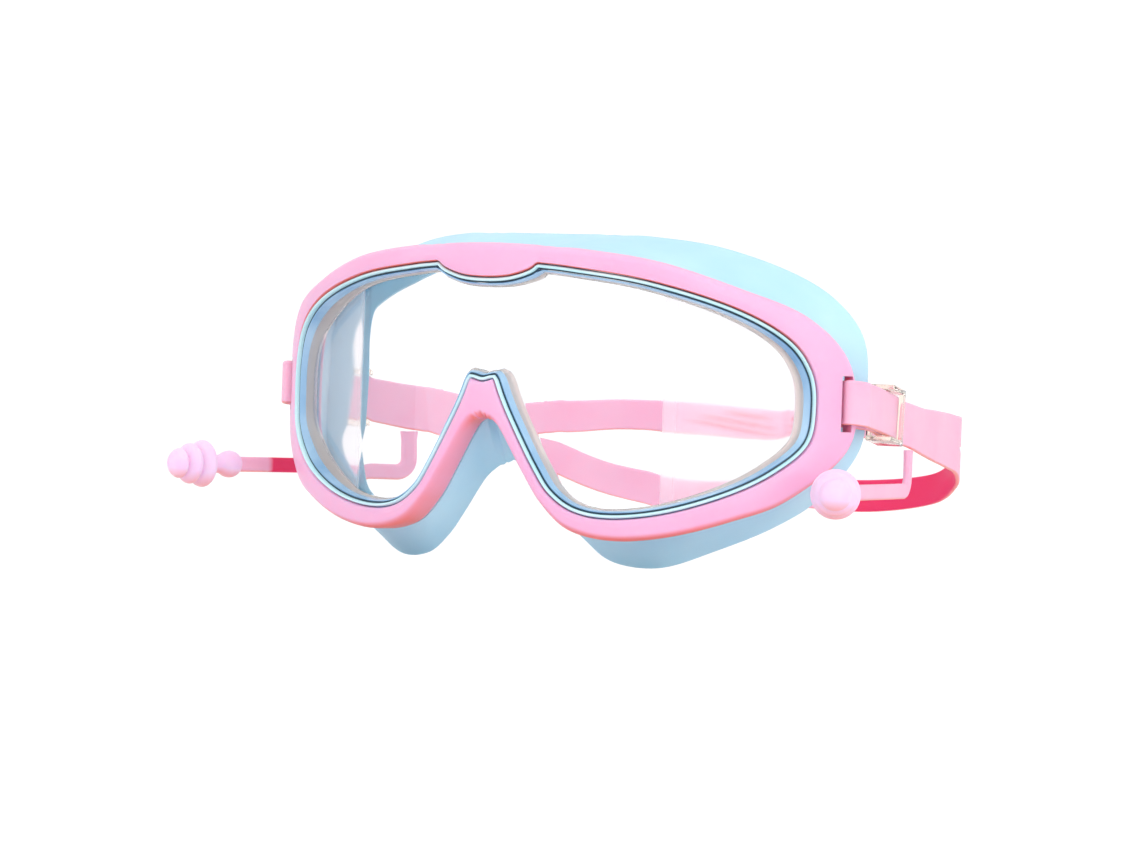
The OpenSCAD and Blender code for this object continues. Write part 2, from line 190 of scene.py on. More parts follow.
def moulded(name, colour, shade, roughness, cloud_mm, grain, ior, glow=None, clearness=0.0,
            warm=None, deep=None):
    """A moulded material: slightly cloudy pigment, uneven gloss and a fine spark-eroded grain of
    this size and depth. Glow is the share, reach by colour and scale of the light that enters it
    and comes out again nearby. The warm colour is a painted shade that its undersides turn
    towards, and the deep colour a painted shade in the folds and grooves that a piece marks."""
    values = {"IOR": ior, "Transmission Weight": clearness}
    if glow:
        for part, value in zip(("Weight", "Radius", "Scale"), glow):
            values["Subsurface " + part] = value
    material, tree, shader = new_material(name, values)
    cloud = clouds(tree, cloud_mm, 3.0)
    ramp = add_node(tree, "ShaderNodeValToRGB", links={"Fac": cloud})
    low, high = ramp.color_ramp.elements
    low.position, low.color, high.position, high.color = 0.3, linear(shade), 0.7, colour
    pigment = ramp.outputs["Color"]
    # Painted shade: the undersides turn towards the warm colour.
    if warm:
        pigment = tinted(tree, pigment, warm, facing_down(tree))
    # Painted shade: the folds and grooves that the mesh marks turn towards the deep colour.
    if deep:
        fold = add_node(tree, "ShaderNodeAttribute", {"attribute_name": PAINTED_SHADE_ATTRIBUTE})
        pigment = tinted(tree, pigment, deep, fold.outputs["Fac"])
    tree.links.new(pigment, shader.inputs["Base Color"])
    uneven_gloss(tree, shader, cloud, roughness - GLOSS_SPREAD, roughness + GLOSS_SPREAD)
    fine_bump(tree, shader, *grain, 0.35)
    return material


def satin_polypropylene(colour):
    """Pink polypropylene, injection moulded with a satin skin: broad soft highlights and a
    warm glow in its shade, because the plastic lets some light through. Its undersides are
    painted a coral shade."""
    return moulded("Satin_pink_polypropylene", colour, "#FFB5D8", 0.31, 30, (0.5, 0.01), 1.49,
                   (0.55, (1.0, 0.25, 0.3), 3 * MM), warm="#FF7C72")


def matte_silicone(colour):
    """Pale blue silicone rubber, moulded matt: a soft sheen and cool translucent edges."""
    return moulded("Matte_pale_blue_silicone", colour, "#B6E2F3", 0.5, 22, (0.6, 0.012), 1.41,
                   (0.35, (0.6, 0.9, 1.0), 2 * MM))


def gasket_silicone(colour):
    """Ice-blue silicone, moulded glossy: a bright narrow highlight along the lip."""
    return moulded("Glossy_ice_blue_silicone", colour, "#C2F2FA", 0.22, 18, (0.5, 0.006), 1.41,
                   (0.2, (0.6, 0.9, 1.0), 1 * MM))


def shaded_wall_silicone():
    """The gasket's inner wall: the same silicone in a darker blue, a painted shade where the lens covers it.
    """
    return moulded("Shaded_blue_silicone_wall", linear("#8FB6D8"), "#6F9CC6", 0.4, 16, (0.6, 0.01), 1.41)


def joint_shade_line():
    """A thin dark line in the joint round the lens, with a wet look: painted shade in the gap."""
    return moulded("Dark_teal_painted_joint_shade", linear("#234656"), "#14303E", 0.3, 6, (0.5, 0.005), 1.45)


def wall_shade_step():
    """The upper half of the lens's step, bonded to the gasket: painted shade, the blue of the shaded gasket
    wall behind it.
    """
    return moulded("Painted_wall_shade_polycarbonate_step", linear("#B4D8F2"), "#86B4DC", 0.2, 12,
                   (0.4, 0.004), 1.45)


def satin_step():
    """The lower half of the lens's step: the same polycarbonate left satin; its milky warm tint is a painted
    reflection.
    """
    return moulded("Satin_clear_polycarbonate_step", linear("#FBF3EC"), "#F2E8E2", 0.35, 12,
                   (0.4, 0.004), 1.35, clearness=0.6)


def sheen_painted_polycarbonate(name, clearness):
    """Polycarbonate with a painted white sheen in it that pales what lies behind it: a painted reflection on
    the side panels and a painted highlight along their bends.
    """
    return moulded(name, linear("#FFFBFD"), "#F6F1F6", 0.08, 20, (0.4, 0.001), 1.35, clearness=clearness)


def strap_silicone(colour):
    """Pink silicone, moulded as a band: a glow at its thin edges. Its undersides are painted a
    coral shade, and its grooves, its folds and the frame's shadow a red shade.
    """
    return moulded("Moulded_pink_silicone_band", colour, "#FFB9D4", 0.42, 15, (0.5, 0.01), 1.41,
                   (0.4, (1.0, 0.3, 0.35), 2 * MM), warm="#FF9A8C", deep="#F4336B")


def plug_silicone(colour):
    """Soft lilac-pink silicone, moulded glossy: milky, with bright round highlights, and a painted pink shade
    on its undersides.
    """
    return moulded("Milky_lilac_silicone", colour, "#FBCFEE", 0.3, 8, (0.4, 0.005), 1.41,
                   (0.6, (1.0, 0.55, 0.7), 2.5 * MM), warm="#FFB0B0")


def clear_moulding(name, colour, ior, flow_mm, low, high):
    """A clear plastic whose gloss varies with the flow of the melt, from low to high."""
    material, tree, shader = new_material(
        name, {"Base Color": colour, "Transmission Weight": 1.0, "IOR": ior})
    uneven_gloss(tree, shader, clouds(tree, flow_mm), low, high)
    return material


def clear_polycarbonate():
    """Clear polycarbonate, polished: it bends what lies behind it and shows soft light bands."""
    return clear_moulding("Polished_clear_polycarbonate", linear("#FDFDFF"), 1.35, 25, 0.0, 0.03)


def clear_plastic(colour):
    """Clear moulded plastic with a warm tint: bright edges round the strap."""
    return clear_moulding("Clear_warm_moulded_plastic", colour, 1.47, 4, 0.04, 0.16)


# ---- Curves and meshes

def unit(vectors):
    """Vectors of length 1 in the same directions."""
    return vectors / np.linalg.norm(vectors, axis=-1, keepdims=True)


def between(p, slope_out, slope_in, k, u):
    """The point that lies a share u of the way along the smooth curve from p[k] to p[k + 1]."""
    return (p[k] * (2 * u ** 3 - 3 * u ** 2 + 1) + slope_out[k] * (u ** 3 - 2 * u ** 2 + u)
            + p[k + 1] * (3 * u ** 2 - 2 * u ** 3) + slope_in[k + 1] * (u ** 3 - u ** 2))


def curve_at(points, places, corners=()):
    """A smooth curve through points, at places counted in points. It meets its mirror image
    square at both ends, and turns sharply at the corners."""
    p = np.asarray(points, float)
    last = len(p) - 1
    slope = np.zeros_like(p)
    slope[1:-1] = (p[2:] - p[:-2]) / 2
    slope[0, 0] = p[1, 0]
    slope[last, 0] = -p[last - 1, 0]
    slope_in, slope_out = slope.copy(), slope.copy()
    for k in corners:
        slope_in[k] = p[k] - p[k - 1]
        slope_out[k] = p[k + 1] - p[k]
    k = np.clip(np.floor(places).astype(int), 0, last - 1)
    return between(p, slope_out, slope_in, k, (places - k)[:, None])


def mirrored(half):
    """A half outline and its mirror image, as one closed ring."""
    other = half[-2:0:-1].copy()
    other[:, 0] *= -1
    return np.concatenate([half, other])


def arc_length(points):
    """The distance run along points, at each of them."""
    return np.concatenate([[0], np.cumsum(np.linalg.norm(np.diff(points, axis=0), axis=1))])


def smoothed(values, steps):
    """Values round a closed ring, each averaged with its neighbours by a bell curve."""
    reach = np.arange(-3 * steps, 3 * steps + 1)
    bell = np.exp(-0.5 * (reach / steps) ** 2)
    return sum(w * np.roll(values, k, axis=0) for k, w in zip(reach, bell)) / bell.sum()


def rim_stations(places):
    """The window's edge at places on its half outline, with what belongs to each station."""
    dense_places = np.linspace(0, len(WINDOW) - 1, DENSE)
    dense = mirrored(curve_at(WINDOW, dense_places, WINDOW_CORNERS))
    length = arc_length(np.vstack([dense, dense[:1]]))
    even = np.linspace(0, length[-1], DENSE, endpoint=False)
    even_points = np.stack([np.interp(even, length, np.append(dense[:, k], dense[0, k]))
                            for k in (0, 1)], 1)
    along = np.roll(even_points, -1, axis=0) - np.roll(even_points, 1, axis=0)
    inward = np.stack([along[:, 1], -along[:, 0]], 1)
    inward = unit(smoothed(unit(inward), 5))
    at = np.interp(places, dense_places, length[:len(dense_places)])
    half_inward = np.stack([np.interp(at, even, inward[:, k]) for k in (0, 1)], 1)
    half_inward[[0, -1], 0] = 0
    return SimpleNamespace(
        edge=mirrored(curve_at(WINDOW, places, WINDOW_CORNERS)),
        inward=mirrored(half_inward),
        band=mirrored(curve_at(BAND, places)),
        flare=mirrored(curve_at(FLARE, places)))


def even_places(spacing):
    """Places on the half outline that lie this far apart round the window."""
    places = np.linspace(0, len(WINDOW) - 1, DENSE)
    length = arc_length(curve_at(WINDOW, places, WINDOW_CORNERS))
    return np.interp(np.linspace(0, length[-1], int(length[-1] / spacing)), length, places)


def wrap(flat, depth):
    """Points on the wrapped front: (distance round the curve, height) and depth below its face."""
    angle = flat[..., 0] / WRAP_RADIUS
    radius = WRAP_RADIUS - depth
    return np.stack([radius * np.sin(angle), FRONT_Y + WRAP_RADIUS - radius * np.cos(angle),
                     flat[..., 1] + 0 * angle], -1)


def rim_rings(edge, direction, section):
    """Sections round the window's edge. Each point of a section lies so far from the edge in a
    direction, and so deep."""
    none = 0 * edge[:, 0]
    return np.stack([wrap(edge + direction * (out + none)[:, None], depth + none)
                     for out, depth, *_ in section], 1)


def loft(rings, closed=True):
    """Points and faces between rings of points that each go round. A closed loft joins its last ring to
    its first, and an open one has capped ends."""
    n, m = rings.shape[:2]
    k, j = np.meshgrid(np.arange(n if closed else n - 1), np.arange(m), indexing="ij")
    next_k, next_j = (k + 1) % n, (j + 1) % m
    quads = np.stack([k * m + j, next_k * m + j, next_k * m + next_j, k * m + next_j], -1).reshape(-1, 4)
    faces = quads.tolist()
    if not closed:
        faces += [list(range(m)), list(reversed(range((n - 1) * m, n * m)))]
    return rings.reshape(-1, 3), faces


def make_mesh(name, points, faces, materials, sharp_degrees=35, finishes=None, marks=None):
    """A smooth-shaded object from points in millimetres, with its outside faces outwards.
    Finishes gives each face the number of its material, and marks how much painted shade each
    point gets in a fold or groove."""
    mesh = bpy.data.meshes.new(name)
    mesh.from_pydata((np.asarray(points) * MM).tolist(), [], faces)
    for material in materials if isinstance(materials, (list, tuple)) else [materials]:
        mesh.materials.append(material)
    if finishes is not None:
        mesh.polygons.foreach_set("material_index", finishes)
    if marks is not None:
        mesh.attributes.new(PAINTED_SHADE_ATTRIBUTE, "FLOAT", "POINT").data.foreach_set("value", marks)
    bm = bmesh.new()
    bm.from_mesh(mesh)
    bmesh.ops.remove_doubles(bm, verts=bm.verts, dist=1e-7)
    bmesh.ops.dissolve_degenerate(bm, edges=bm.edges, dist=1e-7)
    bmesh.ops.delete(bm, geom=[v for v in bm.verts if not v.link_faces], context="VERTS")
    bmesh.ops.recalc_face_normals(bm, faces=bm.faces)
    bm.to_mesh(mesh)
    bm.free()
    obj = bpy.data.objects.new(name, mesh)
    bpy.context.scene.collection.objects.link(obj)
    shade(obj, sharp_degrees)
    return obj


def shade(obj, sharp_degrees):
    """Smooth shading, with a sharp edge wherever two faces meet at more than an angle."""
    obj.data.shade_smooth()
    obj.data.set_sharp_from_angle(angle=math.radians(sharp_degrees))


def apply_modifiers(obj):
    """Makes an object's modifiers part of its mesh."""
    bpy.context.view_layer.update()
    depsgraph = bpy.context.evaluated_depsgraph_get()
    mesh = bpy.data.meshes.new_from_object(obj.evaluated_get(depsgraph))
    old = obj.data
    obj.modifiers.clear()
    obj.data = mesh
    mesh.name = old.name
    bpy.data.meshes.remove(old)


def cut_away(obj, cutters, operation="DIFFERENCE"):
    """Cuts other solids out of an object, or joins them to it, and removes them."""
    for cutter in cutters:
        modifier = obj.modifiers.new("cut", "BOOLEAN")
        modifier.operation = operation
        modifier.solver = "EXACT"
        modifier.object = cutter
    apply_modifiers(obj)
    for cutter in cutters:
        bpy.data.objects.remove(cutter)


def merge_flat_faces(obj):
    """Joins the pieces of each flat face, and points that meet, so that its edges can be rounded."""
    bm = bmesh.new()
    bm.from_mesh(obj.data)
    bmesh.ops.remove_doubles(bm, verts=bm.verts, dist=1e-6)
    bmesh.ops.dissolve_limit(bm, angle_limit=math.radians(1), verts=bm.verts, edges=bm.edges)
    bm.to_mesh(obj.data)
    bm.free()


def block(name, low, high, place, material):
    """A plain box from its low to its high corner, in a place, to cut or build with."""
    corners = [[(low, high)[(i >> axis) & 1][axis] for axis in range(3)] for i in range(8)]
    faces = [[0, 2, 3, 1], [4, 5, 7, 6], [0, 1, 5, 4], [2, 6, 7, 3], [0, 4, 6, 2], [1, 3, 7, 5]]
    points = [place @ Vector(c) for c in corners]
    return make_mesh(name, points, faces, material)


def settle(obj, body, slot, *nodes):
    """Hands a finished piece to its CAD body and hides the CAD nodes it stands for. Slot is not used."""
    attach(obj, body)
    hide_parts(*nodes)


# ---- Sizes and colours that a user would change

def length_property(name, mm, description):
    """A length that a user can change, with its default in millimetres."""
    return FloatProperty(name=name, description=description, default=mm * MM, unit="LENGTH")


def colour_property(name, hex_colour, description):
    """A colour that a user can change."""
    return FloatVectorProperty(name=name, description=description, subtype="COLOR", size=4, min=0, max=1,
                               default=linear(hex_colour))


def in_mm(group):
    """The lengths of a property group in millimetres."""
    return SimpleNamespace(**{name: getattr(group, name) / MM for name in group.__annotations__})


class FrontSizes(bpy.types.PropertyGroup):
    """Sizes of the frame, gasket, lens and skirt."""
    edge_round: length_property("Frame edge", 1.9, "Round of the frame's outer front edge")
    groove: length_property("Shadow groove", 0.3, "Width of the groove between the frame and the gasket")
    lip: length_property("Gasket lip", 1.05, "Width of the gasket that shows inside the frame")
    lens_depth: length_property("Lens depth", 4.2, "Depth of the lens's face below the frame's front")
    lens_thickness: length_property("Lens thickness", 1.8, "Thickness of the lens")
    lens_bend: length_property("Lens bend", 44, "Distance round the curve from the middle to the side panels")
    skirt_wall: length_property("Skirt wall", 1.6, "Thickness of the skirt's wall")
    seal_width: length_property("Seal lip", 9.5, "Width at the temples of the lip that seals on the face")


class StrapSizes(bpy.types.PropertyGroup):
    """Sizes of the strap, buckles, arms and plugs."""
    width: length_property("Strap width", 10.4, "Width of the undivided strap")
    thickness: length_property("Strap thickness", 1.3, "Thickness of the strap")
    groove_depth: length_property("Grip grooves", 0.65, "Depth of the slanted grooves inside the back bands")
    arm_width: length_property("Arm width", 3.8, "Width of a flat ear-plug arm")
    arm_thickness: length_property("Arm thickness", 1.6, "Thickness of a flat ear-plug arm")


class GoggleColours(bpy.types.PropertyGroup):
    """Colours of the mouldings."""
    frame_pink: colour_property("Frame", "#FFBFDF", "Colour of the frame")
    skirt_blue: colour_property("Skirt", "#C4EBF9", "Colour of the skirt")
    gasket_blue: colour_property("Gasket", "#DCFCFF", "Colour of the gasket")
    strap_pink: colour_property("Strap", "#FFC5DB", "Colour of the strap and arms")
    plug_pink: colour_property("Plugs", "#FFDDF6", "Colour of the ear plugs")
    buckle_tint: colour_property("Buckles", "#FFF1E4", "Tint of the clear buckles")


# ---- Front pieces

# The temple bar, and the slot's room before and behind the strap and above and below it
BAR_WIDTH = 2.4
SLOT_GAP = 0.75
SLOT_ROOM = 1.3


def temple_place(flat_s, side):
    """The upright place on the temple at a distance round the curve, with X along the face."""
    at = wrap(np.array([flat_s, SLOT_Z]), 0)
    turn = Matrix.Rotation(flat_s / WRAP_RADIUS, 4, "Z")
    flip = Matrix.Scale(-1, 4, (1, 0, 0)) if side < 0 else Matrix.Identity(4)
    return flip @ Matrix.Translation(at) @ turn


def bar_place():
    """Distance round the curve to the middle of the temple bar."""
    return WINDOW[9][0] + BAND[9][0] - BAR_WIDTH / 2


class GOGGLES_OT_frame(bpy.types.Operator):
    """Builds the pink frame with its brow tab, nose arch and strap slots"""
    bl_idname = "goggles.frame"
    bl_label = "Frame"

    def execute(self, context):
        sizes = in_mm(context.scene.goggle_front)
        strap = in_mm(context.scene.goggle_strap)
        rim = rim_stations(even_places(RIM_SPACING))
        width = np.linalg.norm(rim.band, axis=1)
        front_round = np.minimum(sizes.edge_round, 0.42 * width)
        back_round = np.minimum(1.2, 0.3 * width)
        # Each point of the section: distance out from the window's edge, depth.
        section = [(0, 0.75), (0.08, 0.4), (0.25, 0.15), (0.5, 0.05), (0.35 * width, 0),
                   (0.6 * (width - front_round), 0)]
        for turn in np.radians([0, 15, 30, 45, 60, 75, 90]):
            section.append((width - front_round * (1 - np.sin(turn)), 0.06 + 2.9 * (1 - np.cos(turn))))
        for turn in np.radians([0, 30, 60, 90]):
            section.append((width - back_round * (1 - np.cos(turn)), FRAME_DEPTH - 1.6 * (1 - np.sin(turn))))
        section += [(0.5 * width, FRAME_DEPTH), (0.25, FRAME_DEPTH), (0, FRAME_DEPTH - 0.25), (0, 4)]
        points, faces = loft(rim_rings(rim.edge, unit(rim.band), section))
        material = satin_polypropylene(context.scene.goggle_colours.frame_pink)
        obj = make_mesh("frame_moulding", points, faces, material)
        x, z = strap.thickness / 2 + SLOT_GAP, strap.width / 2 + SLOT_ROOM
        cutters = []
        for side in (-1, 1):
            place = temple_place(bar_place() - BAR_WIDTH / 2 - x, side)
            cutters.append(block("slot", (-x, -2, -z), (x, FRAME_DEPTH + 2, z), place, material))
            # The frame is cut away behind the bar, out past its edge.
            cutters.append(block("relief", (-x, LUG_DEPTH, -z), (x + BAR_WIDTH + 4, FRAME_DEPTH + 8, z),
                                 place, material))
        cut_away(obj, cutters)
        shade(obj, 30)
        settle(obj, "mask", "frame_pink", "frame")
        return {"FINISHED"}


# Width of the dark line of painted shade between the gasket's lip and the lens
SEAM_WIDTH = 0.34


class GOGGLES_OT_gasket(bpy.types.Operator):
    """Builds the ice-blue gasket lip between the frame and the lens"""
    bl_idname = "goggles.gasket"
    bl_label = "Gasket"

    def execute(self, context):
        sizes = in_mm(context.scene.goggle_front)
        colours = context.scene.goggle_colours
        groove, lip, seam = sizes.groove, sizes.lip, SEAM_WIDTH
        rim = rim_stations(even_places(RIM_SPACING))
        # Each point of the section: inset from the window's edge, depth.
        section = [(0.04, 6.8), (0.04, 1.9), (groove, 1.6), (groove, 0.7), (groove + 0.08, 0.42),
                   (groove + 0.25, 0.2), (lip - 0.42, 0.12), (lip - 0.18, 0.2), (lip - 0.05, 0.4), (lip, 0.7),
                   (lip, 1.2), (lip + seam, 1.25), (lip + seam, 3.0), (lip + seam, 6.8)]
        rings = rim_rings(rim.edge, rim.inward, section)
        points, faces = loft(rings)
        # Wall in painted shade, lip, line of painted shade in the joint and wall again
        finishes = ([1] * 2 + [0] * 8 + [2] + [1] * 3) * len(rings)
        materials = [gasket_silicone(colours.gasket_blue), shaded_wall_silicone(), joint_shade_line()]
        obj = make_mesh("gasket_lip", points, faces, materials, 35, finishes)
        settle(obj, "mask", "skirt_blue", "lens_gasket")
        return {"FINISHED"}


# Where each side panel ends, and how far its bend is rounded to each side
PANEL_END = 80.0
BEND_ROUND = 4.0
# Width of the strip with a painted highlight where each side panel starts
BEND_STRIP = 3.2


def panel_sink(s, bend, depth):
    """How far the flat side panels lie behind the lens's curve at a distance round it."""
    grid = np.linspace(-90, 90, 1801)
    radius = WRAP_RADIUS - depth
    middle, half = (bend + PANEL_END) / 2 / WRAP_RADIUS, (PANEL_END - bend) / 2 / WRAP_RADIUS
    angle = np.abs(grid) / WRAP_RADIUS - middle
    sink = np.where(np.abs(angle) < half, radius - radius * np.cos(half) / np.cos(angle), 0)
    reach = np.arange(-BEND_ROUND, BEND_ROUND + 0.05, 0.1)
    bell = 1 + np.cos(np.pi * reach / BEND_ROUND)
    sink = np.convolve(sink, bell / bell.sum(), mode="same")
    return np.interp(s, grid, sink)


# The lens's materials, in the order of its slots
CLEAR, SATIN, WALL_SHADE, PANEL, BEND = range(5)


class GOGGLES_OT_lens(bpy.types.Operator):
    """Builds the clear lens: a dished edge, a wrapped middle and two flatter side panels"""
    bl_idname = "goggles.lens"
    bl_label = "Lens"

    def execute(self, context):
        sizes = in_mm(context.scene.goggle_front)
        depth, thickness, bend = sizes.lens_depth, sizes.lens_thickness, sizes.lens_bend
        flange = sizes.lip + SEAM_WIDTH + 0.08
        # Upright columns join the top and bottom edges of the lens's face at the same places.
        dense = np.linspace(0, len(WINDOW) - 1, 4000)
        rim = rim_stations(dense)
        draft = self.draft(rim)
        inner = (rim.edge + rim.inward * draft[:, None])[:len(dense)]
        side = int(np.argmax(inner[:, 0]))
        columns = inner[side, 0] * np.sin(np.linspace(0, math.pi / 2, 150))[:-1]
        top_places = np.interp(columns, np.maximum.accumulate(inner[:side, 0]), dense[:side])
        foot_s = np.maximum.accumulate(inner[:side:-1, 0])
        foot_places = np.interp(columns, foot_s, dense[:side:-1])
        places = np.concatenate([top_places, [dense[side]], foot_places[::-1]])
        rim = rim_stations(places)
        draft = self.draft(rim)
        sink = panel_sink(rim.edge[:, 0], bend, depth)
        front, back = depth + sink, depth + sink + thickness
        # The step between the flange and the face has the painted blue shade of the gasket wall at
        # first, then satin with a painted reflection. Each point has its inset from the window's edge,
        # its depth and its material.
        drop = front - 1.15
        across = draft - flange - 0.25
        section = [(flange, 3.9, WALL_SHADE), (flange, 1.35, WALL_SHADE), (flange + 0.07, 1.2, WALL_SHADE),
                   (flange + 0.25, 1.15, WALL_SHADE), (flange + 0.25 + 0.45 * across, 1.15 + 0.45 * drop, SATIN),
                   (draft - 0.3, front - 0.45, SATIN), (draft - 0.08, front - 0.1, CLEAR),
                   (draft, front, CLEAR), (draft, back, CLEAR), (draft - 0.25, back - 0.02, SATIN),
                   (0.5 * draft + 0.5 * flange, 0.5 * back + 1.95, SATIN)]
        rings = rim_rings(rim.edge, rim.inward, section)
        points, faces = loft(rings)
        finishes = [finish for _, _, finish in section] * len(rings)
        # Two faces of upright columns replace the inner wall, between the front and back points.
        count, front_at, back_at = len(section), 7, 8
        kept = [k for k, face in enumerate(faces) if not {front_at, back_at} <= {i % count for i in face}]
        faces, finishes = [faces[k] for k in kept], [finishes[k] for k in kept]
        n, half = len(rings), len(columns)
        for k, column in enumerate(columns):
            # The side panels carry a painted reflection, and a strip at each bend a painted highlight.
            finish = CLEAR if column < bend else BEND if column < bend + BEND_STRIP else PANEL
            corners = (k, k + 1, 2 * half - k - 1, 2 * half - k)
            for quad in (corners, [-i % n for i in corners]):
                faces += [[i * count + at for i in quad] for at in (front_at, back_at)]
                finishes += [finish, CLEAR]
        materials = [clear_polycarbonate(), satin_step(), wall_shade_step(),
                     sheen_painted_polycarbonate("Painted_reflection_polycarbonate_panel", 0.77),
                     sheen_painted_polycarbonate("Painted_highlight_polycarbonate_bend", 0.71)]
        obj = make_mesh("lens_clear", points, faces, materials, 30, finishes)
        settle(obj, "mask", "lens_clear", "lens")
        return {"FINISHED"}

    @staticmethod
    def draft(rim):
        """Width of the lens's dished edge: narrow along the brow and the cheeks, wide on the sides."""
        return 2.35 + 1.65 * np.abs(rim.inward[:, 0]) ** 1.5


# How far out from the window's edge the skirt starts, and how far behind the frame's back
SKIRT_ROOT = 5.0
SKIRT_GAP = 0.15


def skirt_rings(rim, wall, seal):
    """Sections of the skirt: out from the frame's back, round its rim and in along the seal lip."""
    width = np.linalg.norm(rim.band, axis=1)
    share = np.minimum(0.92, SKIRT_ROOT / width)[:, None]
    inner_share = share - ((wall + 0.4) / width)[:, None]
    foot, inside = [wrap(rim.edge + rim.band * part, FRAME_DEPTH + SKIRT_GAP)
                    for part in (share, inner_share)]
    rim_line = wrap(rim.edge + rim.band, FRAME_DEPTH) + rim.flare
    run = rim_line - foot
    height = np.linalg.norm(run, axis=1)[:, None]
    run = run / height
    # The lip turns in flat across the face, and the wall is as thick at its rim as at its root.
    across = inside - foot
    across[:, 1] = 0
    across = unit(across)
    into = unit(across - np.sum(across * run, axis=1)[:, None] * run)
    from_eye = np.hypot(rim_line[:, 0], rim_line[:, 2] + 15)
    lip = (seal * np.minimum(1, 0.3 + from_eye / 100))[:, None]
    rings = [foot + run * height * t for t in (0, 0.25, 0.5, 0.75, 0.9)]
    # Round the rim: distance inwards, distance along the wall.
    for inwards, on in [(0, -0.9), (0.15, -0.3), (0.5, 0.1), (1.1, 0.35)]:
        rings.append(rim_line + into * inwards + run * on)
    for t in (0.3, 0.5, 0.7, 0.85, 0.95):
        rings.append(rim_line + across * (1.1 + (lip - 1.1) * t) + run * (0.4 - 0.5 * t * t))
    rings.append(rim_line + across * lip - run * 0.35)
    for t in (0.95, 0.85, 0.7, 0.5, 0.3):
        inwards = wall + 0.8 + (lip - wall - 0.8) * t
        rings.append(rim_line + across * inwards - run * (0.75 + 0.35 * (1 - t)))
    rings += [rim_line + into * (wall + 0.3) - run * 1.7, rim_line + into * wall - run * 2.6]
    for t in (0.75, 0.5, 0.25):
        rings.append(foot + run * height * t + into * wall)
    rings.append(inside)
    return np.stack(rings, 1)


class GOGGLES_OT_skirt(bpy.types.Operator):
    """Builds the pale blue face skirt with its turned-in seal lip"""
    bl_idname = "goggles.skirt"
    bl_label = "Face skirt"

    def execute(self, context):
        sizes = in_mm(context.scene.goggle_front)
        rim = rim_stations(even_places(RIM_SPACING))
        points, faces = loft(skirt_rings(rim, sizes.skirt_wall, sizes.seal_width))
        obj = make_mesh("skirt_silicone", points, faces,
                        matte_silicone(context.scene.goggle_colours.skirt_blue), 50)
        settle(obj, "mask", "skirt_blue", "face_skirt")
        return {"FINISHED"}


# ---- Strap, buckles, arms and plugs

# The two layers run straight back through the buckle along a line in plan.
RUN_TURN = math.radians(11)
RUN_DIR = np.array([-math.sin(RUN_TURN), math.cos(RUN_TURN)])
RUN_OUT = np.array([math.cos(RUN_TURN), math.sin(RUN_TURN)])
# Where that run starts, beside and behind the bar's middle
RUN_START = (1.6, 8.1)
RUN_LENGTH = 19.5
TAIL_LENGTH = 17.5
LAYER_GAP = 1.0
# How far the strap falls for each millimetre that it runs back
STRAP_FALL = 0.115
# The free loop: X, distance behind the bar, then the heights of the strap's top edge,
# the slit's two edges and the strap's lower edge.
LOOP = [(70.8, 43.6, 2.1, -3, -3.6, -8.7), (68.2, 57, 1, -4.4, -5, -10.5), (65.9, 69, 0.6, -5.4, -6, -12.1),
        (63.7, 81, 0, -6.8, -7.2, -13.6), (61.5, 93, -0.8, -8.2, -8.8, -15.6),
        (56.5, 103.5, -0.7, -8.6, -11.4, -19.4), (46, 113, 0.2, -7.2, -16, -23.9),
        (25, 118.4, 0, -7.5, -18.4, -26.8), (0, 120, -1.2, -9, -18.4, -26.4)]
# X of the bar that those points belong to
LOOP_BAR_X = 76.0
# The row of the loop where the slit starts
SLIT_FROM = 4
# Rows of points down a band's face and round its edge, and how far that edge bulges
FACE_ROWS = 22
EDGE_ROWS = 5
EDGE_ROUND = 0.45


